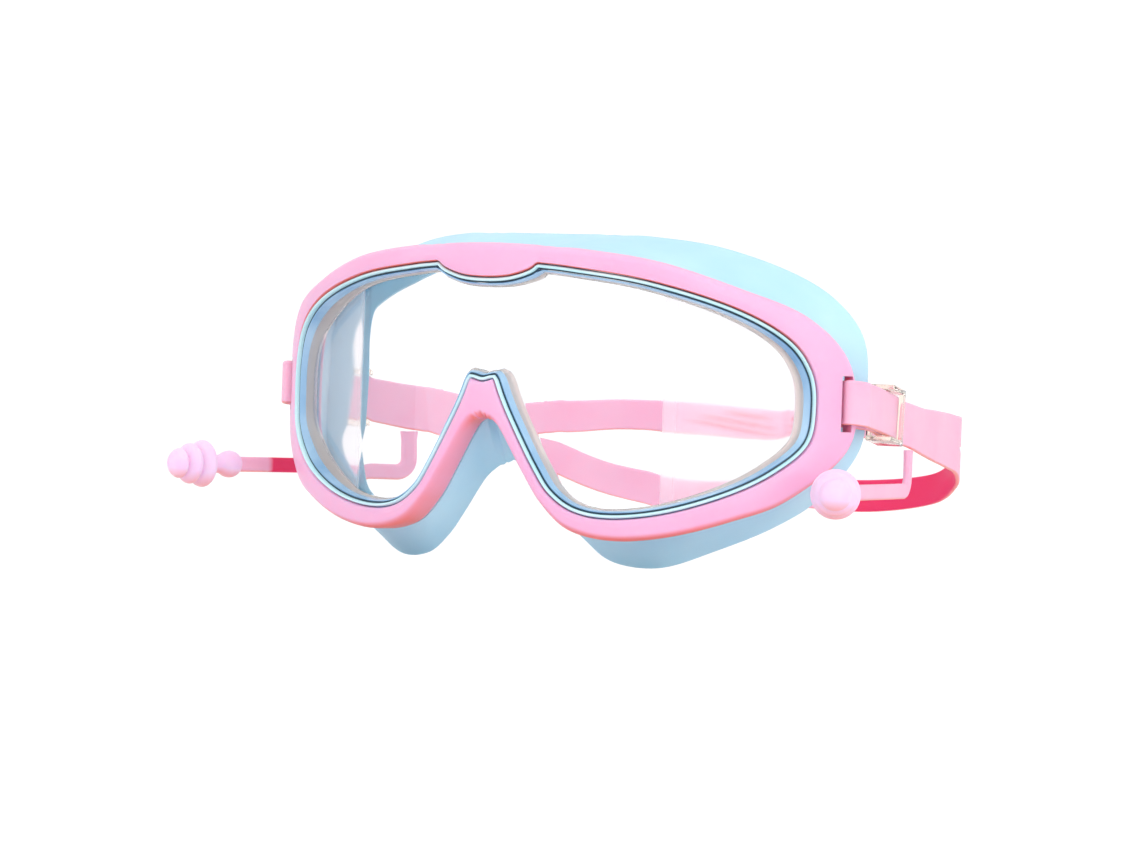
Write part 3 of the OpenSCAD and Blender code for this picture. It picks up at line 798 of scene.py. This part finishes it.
def strap_line(strap):
    """Stations of half the strap, tail to back: X, Y, top, slit top, slit bottom and bottom,
    and the index of the station where the slit starts."""
    thickness, half = strap.thickness, strap.width / 2
    bar = wrap(np.array([bar_place(), SLOT_Z]), LUG_DEPTH / 2)
    start = bar[:2] + RUN_START
    offset = (LAYER_GAP + thickness) / 2
    turn = bar_place() / WRAP_RADIUS
    bar_x = np.array([math.cos(turn), math.sin(turn)])
    bar_out = np.array([math.sin(turn), -math.cos(turn)])
    beside = BAR_WIDTH / 2 + SLOT_GAP + thickness / 2
    before = LUG_DEPTH / 2 + SLOT_GAP + thickness / 2

    def by_bar(a, b):
        return bar[:2] + bar_x * a + bar_out * b

    def on_run(length, off):
        return start + RUN_DIR * length + RUN_OUT * off

    def row(p):
        z = SLOT_Z - STRAP_FALL * (p[1] - bar[1])
        return [*p, z + half, z, z, z - half]

    fold = [on_run(TAIL_LENGTH * t, offset) for t in (1, 0.75, 0.5, 0.25, 0)]
    fold += [by_bar(a, b) for a, b in [
        (3.6, 1.6), (2.4, before - 0.5), (1, before), (-1.2, before), (-beside + 0.3, before - 0.4),
        (-beside, before - 1.3), (-beside, 0), (-beside, 1.3 - before), (-beside + 0.3, 0.2 - before),
        (-beside + 1.4, -0.8 - before)]]
    fold += [on_run(RUN_LENGTH * t, -offset) for t in (0, 0.5, 1)]
    rows = [row(p) for p in fold]
    middle = len(rows) + SLIT_FROM
    for x, behind, *heights in LOOP:
        rows.append([x * bar[0] / LOOP_BAR_X, bar[1] + behind, *heights])
    rows = np.array(rows)
    rows[:middle + 1, 3:5] = rows[:middle + 1, 3:5].mean(1, keepdims=True)
    # Round curves through the rows. The back meets its mirror image square.
    slope = np.zeros_like(rows)
    slope[1:-1] = (rows[2:] - rows[:-2]) / 2
    slope[0] = rows[1] - rows[0]
    slope[-1, 0] = -rows[-2, 0]
    stations = []
    for k in range(len(rows) - 1):
        gap = np.linalg.norm(rows[k + 1, :2] - rows[k, :2])
        steps = max(3, int(gap / (0.45 if k >= middle + 1 else 1.2)))
        if k == middle:
            slit_start = len(stations)
        stations += [between(rows, slope, slope, k, u) for u in np.arange(steps) / steps]
    stations.append(rows[-1])
    stations = np.array(stations)
    stations[:slit_start + 1, 3] = stations[:slit_start + 1, 4] = stations[:slit_start + 1, 3:5].mean(1)
    return stations, slit_start


# Grip grooves inside each back band: distance from the middle of the back to each end of the
# groove, and the share of the band's height at each end.
UPPER_GROOVES = [(1, 0.95, 30, 0.58), (2, 0.66, 26, 0.4), (4, 0.32, 19, 0.2)]
LOWER_GROOVES = [(11, 0.12, 23, 0.45), (9, 0.35, 26, 0.72)]
GROOVE_WIDTH = 0.4
# How much painted shade darkens the bottom of a groove
GROOVE_SHADE = 0.55


def groove_depth(along, share, height, grooves):
    """How deep the grooves are at a place on a band, from 0 to 1."""
    depth = np.zeros(np.broadcast(along, share).shape)
    for start, low, end, high in grooves:
        t = np.clip((along - start) / (end - start), 0, 1)
        away = np.hypot((share - (low + (high - low) * t)) * height, along - np.clip(along, start, end))
        taper = np.sin(np.pi * np.clip(t, 0.02, 0.98)) ** 0.4
        depth = np.maximum(depth, taper * np.exp(-(away / GROOVE_WIDTH) ** 2))
    return depth


def band_rings(stations, normal, thickness, groove_mm, along, edges, rounds, grooves):
    """Sections of one band of the strap, down its outside, round its edge and up its inside, and
    how much painted shade each point gets in a groove. Edges and rounds are those of its top,
    then its bottom."""
    (top, bottom), (top_round, bottom_round) = edges, rounds
    share = np.linspace(0, 1, FACE_ROWS)[None, :]
    high, low = (top - top_round)[:, None], (bottom + bottom_round)[:, None]
    z_down = high + (low - high) * share
    cut = groove_mm * groove_depth(along[:, None], share[:, ::-1], (high - low), grooves)
    outside = np.stack([np.full_like(z_down, thickness / 2), z_down], -1)
    inside = np.stack([-thickness / 2 + cut, z_down[:, ::-1]], -1)
    turn = np.linspace(0, math.pi, EDGE_ROWS + 2)[None, 1:-1]
    round_x = np.cos(turn) * thickness / 2 + 0 * low
    under = np.stack([round_x, low - bottom_round[:, None] * np.sin(turn)], -1)
    over = np.stack([-round_x, high + top_round[:, None] * np.sin(turn)], -1)
    flat = np.concatenate([outside, under, inside, over], 1)
    plan = stations[:, None, :2] + normal[:, None, :] * flat[..., :1]
    marks = np.zeros(flat.shape[:2])
    # Painted shade at the bottom of each groove inside the band
    marks[:, FACE_ROWS + EDGE_ROWS:2 * FACE_ROWS + EDGE_ROWS] = cut / groove_mm * GROOVE_SHADE
    return np.concatenate([plan, flat[..., 1:]], -1), marks


class GOGGLES_OT_strap(bpy.types.Operator):
    """Builds the head strap: folded round both temple bars and split into two bands behind"""
    bl_idname = "goggles.strap"
    bl_label = "Head strap"

    def execute(self, context):
        strap = in_mm(context.scene.goggle_strap)
        thickness = strap.thickness
        half, slit_start = strap_line(strap)
        other = half[-2::-1].copy()
        other[:, 0] *= -1
        line = np.concatenate([half, other])
        run = unit(np.gradient(line[:, :2], axis=0))
        # The strap runs anticlockwise in plan, so its outside is on the right of its run.
        normal = np.stack([run[:, 1], -run[:, 0]], 1)
        n, length = len(line), arc_length(line[:, :2])
        back = np.abs(length - length[len(half) - 1])
        split_from, split_to = slit_start, n - 1 - slit_start
        opened = np.minimum(length - length[split_from], length[split_to] - length)
        # The slit's edges are square where it starts, and as round as the others 4 mm on.
        free_round = np.full(n, EDGE_ROUND)
        seam_round = np.clip(opened / 4, 0, 1) * EDGE_ROUND
        shared = (line, normal, thickness, strap.groove_depth, back)
        upper, upper_marks = band_rings(*shared, line.T[2:4], (free_round, seam_round), UPPER_GROOVES)
        lower, lower_marks = band_rings(*shared, line.T[4:6], (seam_round, free_round), LOWER_GROOVES)
        ring = upper.shape[1]
        points, faces = [], []
        for rings, seam in ((upper, (FACE_ROWS - 1, FACE_ROWS + EDGE_ROWS)),
                            (lower, (2 * FACE_ROWS + EDGE_ROWS - 1, ring))):
            first = len(points) * n * ring
            points.append(rings.reshape(-1, 3))
            for k in range(n - 1):
                whole = k < split_from or k >= split_to
                for j in range(ring):
                    if whole and seam[0] <= j < seam[1]:
                        continue
                    a, b = first + k * ring + j, first + k * ring + (j + 1) % ring
                    faces.append([a, a + ring, b + ring, b])
            faces.append([first + j for j in range(ring)])
            faces.append([first + (n - 1) * ring + j for j in reversed(range(ring))])
        obj = make_mesh("strap_band", np.concatenate(points), faces,
                        strap_silicone(context.scene.goggle_colours.strap_pink), 60,
                        marks=np.concatenate([upper_marks.ravel(), lower_marks.ravel()]))
        # Painted shade inside the lower band's turn
        mark_painted_shade(obj, self.fold)
        settle(obj, "strap", "strap_pink", "head_strap")
        return {"FINISHED"}

    @staticmethod
    def fold(points, normals):
        """Painted shade: the lower band is darkest inside its turn on the wearer's left, where the light
        doesn't reach.
        """
        turn = step_between(points[:, 0], 8, 22)
        low = step_between(-points[:, 2], 9, 11)
        inside = step_between(np.maximum(-normals[:, 0], -normals[:, 1]), 0.2, 0.6)
        return turn * low * inside * step_between(points[:, 1], 96, 103)


def mark_painted_shade(obj, depth):
    """Stores how much painted shade each point of a mesh gets in a fold, unless it gets more in
    a groove. Depth takes points in millimetres and their normals."""
    mesh = obj.data
    points, normals = np.empty(len(mesh.vertices) * 3), np.empty(len(mesh.vertices) * 3)
    mesh.vertices.foreach_get("co", points)
    mesh.vertices.foreach_get("normal", normals)
    values = depth(points.reshape(-1, 3) / MM, normals.reshape(-1, 3))
    layer = mesh.attributes.get(PAINTED_SHADE_ATTRIBUTE) or mesh.attributes.new(PAINTED_SHADE_ATTRIBUTE, "FLOAT", "POINT")
    marks = np.empty(len(mesh.vertices))
    layer.data.foreach_get("value", marks)
    layer.data.foreach_set("value", np.maximum(marks, values))


def step_between(values, start, end):
    """0 before start and 1 past end, with a soft change between them."""
    t = np.clip((values - start) / (end - start), 0, 1)
    return t * t * (3 - 2 * t)


# The buckle's length, its wall, the width of its end bars and its room round each strap layer
BUCKLE_LENGTH = 12.0
BUCKLE_WALL = 1.2
END_BAR = 2.2
LAYER_ROOM = 0.15


class GOGGLES_OT_buckles(bpy.types.Operator):
    """Builds the two clear buckles that slide on the doubled strap"""
    bl_idname = "goggles.buckles"
    bl_label = "Buckles"

    def execute(self, context):
        strap = in_mm(context.scene.goggle_strap)
        material = clear_plastic(context.scene.goggle_colours.buckle_tint)
        for side, name in ((1, "buckle_px"), (-1, "buckle_nx")):
            low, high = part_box(name)
            middle = (low + high) / 2 / MM
            tilt = Matrix.Rotation(side * RUN_TURN, 4, "Z") @ Matrix.Rotation(-math.atan(STRAP_FALL), 4, "X")
            flip = Matrix.Scale(side, 4, (1, 0, 0))
            place = Matrix.Translation(middle) @ tilt @ flip
            rail = strap.width / 2 + 2 * LAYER_ROOM
            bar = LAYER_GAP / 2 + strap.thickness + LAYER_ROOM
            middle_bar = LAYER_GAP / 2 - LAYER_ROOM
            end, reach, tall = BUCKLE_LENGTH / 2, bar + BUCKLE_WALL, rail + BUCKLE_WALL
            parts = [((-reach, -end, rail), (reach, end, tall)),
                     ((-reach, -end, -tall), (reach, end, -rail)),
                     ((bar, end - END_BAR, -tall), (reach, end, tall)),
                     ((-reach, -end, -tall), (-bar, -end + END_BAR, tall)),
                     ((-middle_bar, -1, -tall), (middle_bar, 1, tall))]
            # Joined and rounded square to the axes, where the faces meet exactly, then put in place
            solids = [block(name + "_clear", a, b, Matrix.Identity(4), material) for a, b in parts]
            obj = solids[0]
            cut_away(obj, solids[1:], "UNION")
            merge_flat_faces(obj)
            bevel = obj.modifiers.new("round", "BEVEL")
            bevel.width, bevel.segments, bevel.limit_method = 0.28 * MM, 3, "ANGLE"
            apply_modifiers(obj)
            place.translation *= MM
            obj.data.transform(place)
            if side < 0:
                obj.data.flip_normals()
            shade(obj, 40)
            settle(obj, name, "buckle_clear", name)
        return {"FINISHED"}


# Radius of the turn where an arm goes from hanging to running forwards, and how far from the
# middle of its bead the arm ends
ARM_BEND = 3.4
BEAD_GRIP = 2.2


def flat_section(width, thickness):
    """A flat section with round edges: across its width, across its thickness."""
    turn = np.linspace(-math.pi / 2, math.pi / 2, 6)
    r = thickness / 2
    right = np.stack([width / 2 - r + r * np.cos(turn), r * np.sin(turn)], 1)
    return np.concatenate([right, -right])


class GOGGLES_OT_ear_arms(bpy.types.Operator):
    """Builds the two flat arms that carry the ear plugs"""
    bl_idname = "goggles.ear_arms"
    bl_label = "Ear-plug arms"

    def execute(self, context):
        strap = in_mm(context.scene.goggle_strap)
        material = strap_silicone(context.scene.goggle_colours.strap_pink)
        width, thickness = strap.arm_width, strap.arm_thickness
        for side, name, plug in ((1, "ear_arm_px", "ear_plug_px"), (-1, "ear_arm_nx", "ear_plug_nx")):
            joint = JOINTS["ear_px_swing" if side > 0 else "ear_nx_swing"]
            root = np.array(joint["pos_m"]) / MM
            bead = self.bead(plug)
            heading = math.atan2(side * (bead[0] - root[0]), root[1] - bead[1])
            drop = root[2] - bead[2]
            reach = math.hypot(bead[0] - root[0], bead[1] - root[1])
            path = [(0, -0.5), (0, -1.2), (0, -2.6), (0, -4.4), (0, ARM_BEND - drop)]
            for turn in np.radians(np.arange(9, 90, 9)):
                path.append((ARM_BEND * (1 - math.cos(turn)), ARM_BEND - drop - ARM_BEND * math.sin(turn)))
            path += [(f, -drop) for f in np.linspace(ARM_BEND, reach - BEAD_GRIP, 60)]
            path = np.array(path)
            run = unit(np.gradient(path, axis=0))
            across = np.stack([-run[:, 1], run[:, 0]], 1)
            # The root is a little wider where it leaves the strap's edge.
            flare = 1 + 0.2 * np.exp(-((path[:, 1] + 0.5) / 1.3) ** 2) * (path[:, 0] < 0.1)
            section = flat_section(width, thickness)
            flat = path[:, None, :] + across[:, None, :] * section[None, :, :1] * flare[:, None, None]
            x = np.broadcast_to(section[None, :, 1], flat.shape[:2])
            forward = np.array([side * math.sin(heading), -math.cos(heading)])
            sideways = np.array([side * math.cos(heading), math.sin(heading)])
            plan = root[:2] + flat[..., :1] * forward + x[..., None] * sideways
            rings = np.concatenate([plan, root[2] + flat[..., 1:]], -1)
            points, faces = loft(rings, closed=False)
            obj = make_mesh(name + "_moulding", points, faces, material, 60)
            # Painted shadow where the arm passes the frame's edge
            mark_painted_shade(obj, self.fold)
            settle(obj, "ear_px" if side > 0 else "ear_nx", "strap_pink", name)
        return {"FINISHED"}

    @staticmethod
    def fold(points, normals):
        """Painted shadow: the arm on the wearer's right is darkest where it passes the frame's edge, in that
        edge's shadow.
        """
        beside = step_between(points[:, 1], 10.2, 11.4) * (1 - step_between(points[:, 1], 26, 34))
        return beside * (points[:, 0] < 0)

    @staticmethod
    def bead(plug):
        """The middle of the bead at the foot of a plug."""
        mount = MOUNTS[plug]
        return np.array(mount["pos_m"]) / MM - PLUG_LENGTH * np.array(mount["axis"])


PLUG_LENGTH = 18.2
# Half of the plug's outline from the back of its bead to its tip: distance along, radius.
PLUG_OUTLINE = [
    (-3.45, 0), (-3.38, 0.75), (-3.1, 1.5), (-2.4, 2.5), (-1.3, 3.2), (0, 3.45), (1.3, 3.2), (2.2, 2.7),
    (2.9, 2.3), (4.2, 2.2), (6.6, 2.2), (7.7, 2.35), (7.75, 4.2), (7.6, 5.2), (7.75, 5.65), (8.2, 5.85),
    (8.9, 5.75), (9.8, 5.2), (10.6, 4.3), (11.2, 3.1), (11.45, 2.7), (11.5, 3.9), (11.4, 4.6),
    (11.6, 4.95), (12.1, 5.1), (12.8, 4.9), (13.5, 4.3), (14.1, 3.4), (14.6, 2.5), (14.8, 2.4),
    (14.8, 3.1), (14.9, 3.55), (15.3, 3.75), (16, 3.6), (16.9, 3.0), (17.6, 2.1), (18.05, 1.1), (18.2, 0)]


class GOGGLES_OT_ear_plugs(bpy.types.Operator):
    """Builds the two flanged ear plugs"""
    bl_idname = "goggles.ear_plugs"
    bl_label = "Ear plugs"

    def execute(self, context):
        material = plug_silicone(context.scene.goggle_colours.plug_pink)
        outline = np.array(PLUG_OUTLINE)
        for name, body in (("ear_plug_px", "ear_px"), ("ear_plug_nx", "ear_nx")):
            mount = MOUNTS[name]
            tip, axis = np.array(mount["pos_m"]) / MM, unit(np.array(mount["axis"]))
            side = np.cross(axis, [0, 0, 1])
            up = np.cross(side, axis)
            turn = np.linspace(0, 2 * math.pi, 72, endpoint=False)
            around = np.cos(turn)[:, None] * side + np.sin(turn)[:, None] * up
            foot = tip - axis * PLUG_LENGTH
            rings = (foot + outline[:, None, :1] * axis) + outline[:, None, 1:] * around[None]
            points, faces = loft(rings, closed=False)
            obj = make_mesh(name + "_moulding", points, faces, material, 70)
            smooth = obj.modifiers.new("round", "SUBSURF")
            smooth.levels = smooth.render_levels = 1
            apply_modifiers(obj)
            shade(obj, 70)
            settle(obj, body, "plug_pink", name)
        return {"FINISHED"}


# ---- Stage: floor, light and camera

# The camera stands off the middle of the frame's front.
CAMERA_AZIMUTH = math.radians(30)
CAMERA_ELEVATION = math.radians(0.25)
CAMERA_ROLL = math.radians(2.06)
CAMERA_DISTANCE = 1070.0
CAMERA_LENS = 145.0
FLOOR_RADIUS = 6000.0
# Brightness of the floor and sky to the eye, which a clear lens dims a little
SEEN_WHITE = 1.08
# How far the picture's middle lies right of and below the middle of the frame's front
AIM_RIGHT = 21.06
AIM_DOWN = 7.01


def area_light(name, at, aim, size, power):
    """A soft rectangular light that faces a point."""
    data = bpy.data.lights.new(name, "AREA")
    data.shape, data.size, data.size_y, data.energy = "RECTANGLE", *size, power
    light = bpy.data.objects.new(name, data)
    bpy.context.scene.collection.objects.link(light)
    light.location = at
    light.rotation_mode = "QUATERNION"
    light.rotation_quaternion = (aim - at).to_track_quat("-Z", "Y")


class GOGGLES_OT_stage(bpy.types.Operator):
    """Sets up the pale floor, the soft studio light and the camera"""
    bl_idname = "goggles.stage"
    bl_label = "Stage"

    def execute(self, context):
        self.floor()
        self.sky()
        self.lights()
        self.camera(context)
        context.scene.view_settings.view_transform = "Standard"
        return {"FINISHED"}

    def floor(self):
        """A plain pale disc under the goggles."""
        low = CAD_BOX[0].z / MM - 0.5
        turn = np.linspace(0, 2 * math.pi, 96, endpoint=False)
        points = np.stack([FLOOR_RADIUS * np.cos(turn), FLOOR_RADIUS * np.sin(turn), low + 0 * turn], 1)
        material, tree, shader = new_material("Pale_paper_floor",
                                              {"Base Color": linear("#F0F0F4"), "Roughness": 0.9})
        fine_bump(tree, shader, 3, 0.02, 0.1)
        white = add_node(tree, "ShaderNodeEmission", values={"Color": (1, 1, 1, 1), "Strength": SEEN_WHITE})
        both = self.by_look(tree, shader.outputs["BSDF"], white.outputs["Emission"])
        output = next(node for node in tree.nodes if node.bl_idname == "ShaderNodeOutputMaterial")
        tree.links.new(both, output.inputs["Surface"])
        obj = make_mesh("floor", points, [list(range(len(points)))], material)

    @staticmethod
    def by_look(tree, lit, seen):
        """The seen shader where the floor or sky is looked at, straight or through something
        clear, and the lit one elsewhere."""
        ray = add_node(tree, "ShaderNodeLightPath")
        looked_at = add_node(tree, "ShaderNodeMath", {"operation": "MAXIMUM"},
                             links={0: ray.outputs["Is Camera Ray"], 1: ray.outputs["Is Transmission Ray"]})
        mix = add_node(tree, "ShaderNodeMixShader", links={0: looked_at.outputs[0], 1: lit, 2: seen})
        return mix.outputs["Shader"]

    def sky(self):
        """White all round to the eye. As a light it is a little brighter overhead than below."""
        world = bpy.data.worlds.new("Studio")
        bpy.context.scene.world = world
        world.use_nodes = True
        tree = world.node_tree
        tree.nodes.clear()
        place = add_node(tree, "ShaderNodeTexCoord")
        height = add_node(tree, "ShaderNodeSeparateXYZ", links={"Vector": place.outputs["Generated"]})
        fade = add_node(tree, "ShaderNodeMapRange", values={"From Min": -0.3, "From Max": 0.9},
                        links={"Value": height.outputs["Z"]})
        ramp = add_node(tree, "ShaderNodeValToRGB", links={"Fac": fade.outputs["Result"]})
        ramp.color_ramp.elements[0].color = (0.84, 0.82, 0.84, 1)
        ramp.color_ramp.elements[1].color = (0.88, 0.89, 0.91, 1)
        light = add_node(tree, "ShaderNodeBackground", values={"Strength": 1.0},
                         links={"Color": ramp.outputs["Color"]})
        plain = add_node(tree, "ShaderNodeBackground", values={"Color": (1, 1, 1, 1), "Strength": SEEN_WHITE})
        both = self.by_look(tree, light.outputs["Background"], plain.outputs["Background"])
        add_node(tree, "ShaderNodeOutputWorld", links={"Surface": both})

    def lights(self):
        """A large overhead light, one on the wearer's left and a weak one in front."""
        middle = (CAD_BOX[0] + CAD_BOX[1]) / 2
        area_light("overhead", middle + Vector((0.1, -0.1, 1.0)), middle, (1.2, 1.0), 1.4)
        area_light("side", middle + Vector((1.1, -0.7, 0.4)), middle, (0.8, 1.2), 6)
        area_light("front_left", middle + Vector((-0.9, -0.9, 0.2)), middle, (0.5, 1.2), 3)

    def camera(self, context):
        """A long lens, almost level, from the wearer's left front."""
        a, e, r = CAMERA_AZIMUTH, CAMERA_ELEVATION, CAMERA_ROLL
        back = Vector((math.sin(a) * math.cos(e), -math.cos(a) * math.cos(e), math.sin(e)))
        level_right = Vector((math.cos(a), math.sin(a), 0))
        level_up = back.cross(level_right)
        right = math.cos(r) * level_right + math.sin(r) * level_up
        up = math.cos(r) * level_up - math.sin(r) * level_right
        front = Vector((0, FRONT_Y, 0))
        at = front + back * CAMERA_DISTANCE
        aim = front + right * AIM_RIGHT - up * AIM_DOWN
        back = (at - aim).normalized()
        right = (right - back * right.dot(back)).normalized()
        up = back.cross(right)
        data = bpy.data.cameras.new("camera")
        data.lens, data.sensor_width, data.clip_start, data.clip_end = CAMERA_LENS, 36, 0.01, 50
        camera = bpy.data.objects.new("camera", data)
        context.scene.collection.objects.link(camera)
        camera.matrix_world = Matrix.Translation(at * MM) @ Matrix((right, up, back)).transposed().to_4x4()
        context.scene.camera = camera


# ---- Panel, registration and the run

OPERATORS = (GOGGLES_OT_stage, GOGGLES_OT_frame, GOGGLES_OT_gasket, GOGGLES_OT_lens, GOGGLES_OT_skirt,
             GOGGLES_OT_strap, GOGGLES_OT_buckles, GOGGLES_OT_ear_arms, GOGGLES_OT_ear_plugs)


class GOGGLES_PT_panel(bpy.types.Panel):
    """Sizes, colours and the steps that build the goggles"""
    bl_idname = "GOGGLES_PT_panel"
    bl_label = "Swim Goggles"
    bl_space_type = "VIEW_3D"
    bl_region_type = "UI"
    bl_category = "Goggles"

    def draw(self, context):
        for group in (context.scene.goggle_front, context.scene.goggle_strap, context.scene.goggle_colours):
            box = self.layout.box()
            for name in group.__annotations__:
                box.prop(group, name)
        for operator in OPERATORS:
            self.layout.operator(operator.bl_idname)


CLASSES = (FrontSizes, StrapSizes, GoggleColours, *OPERATORS, GOGGLES_PT_panel)


def register():
    for cls in CLASSES:
        bpy.utils.register_class(cls)
    bpy.types.Scene.goggle_front = PointerProperty(type=FrontSizes)
    bpy.types.Scene.goggle_strap = PointerProperty(type=StrapSizes)
    bpy.types.Scene.goggle_colours = PointerProperty(type=GoggleColours)


def unregister():
    del bpy.types.Scene.goggle_colours
    del bpy.types.Scene.goggle_strap
    del bpy.types.Scene.goggle_front
    for cls in reversed(CLASSES):
        bpy.utils.unregister_class(cls)


def main():
    """Builds the whole scene."""
    register()
    bpy.ops.goggles.stage()
    bpy.ops.goggles.frame()
    bpy.ops.goggles.gasket()
    bpy.ops.goggles.lens()
    bpy.ops.goggles.skirt()
    bpy.ops.goggles.strap()
    bpy.ops.goggles.buckles()
    bpy.ops.goggles.ear_arms()
    bpy.ops.goggles.ear_plugs()


if __name__ == "__main__":
    main()
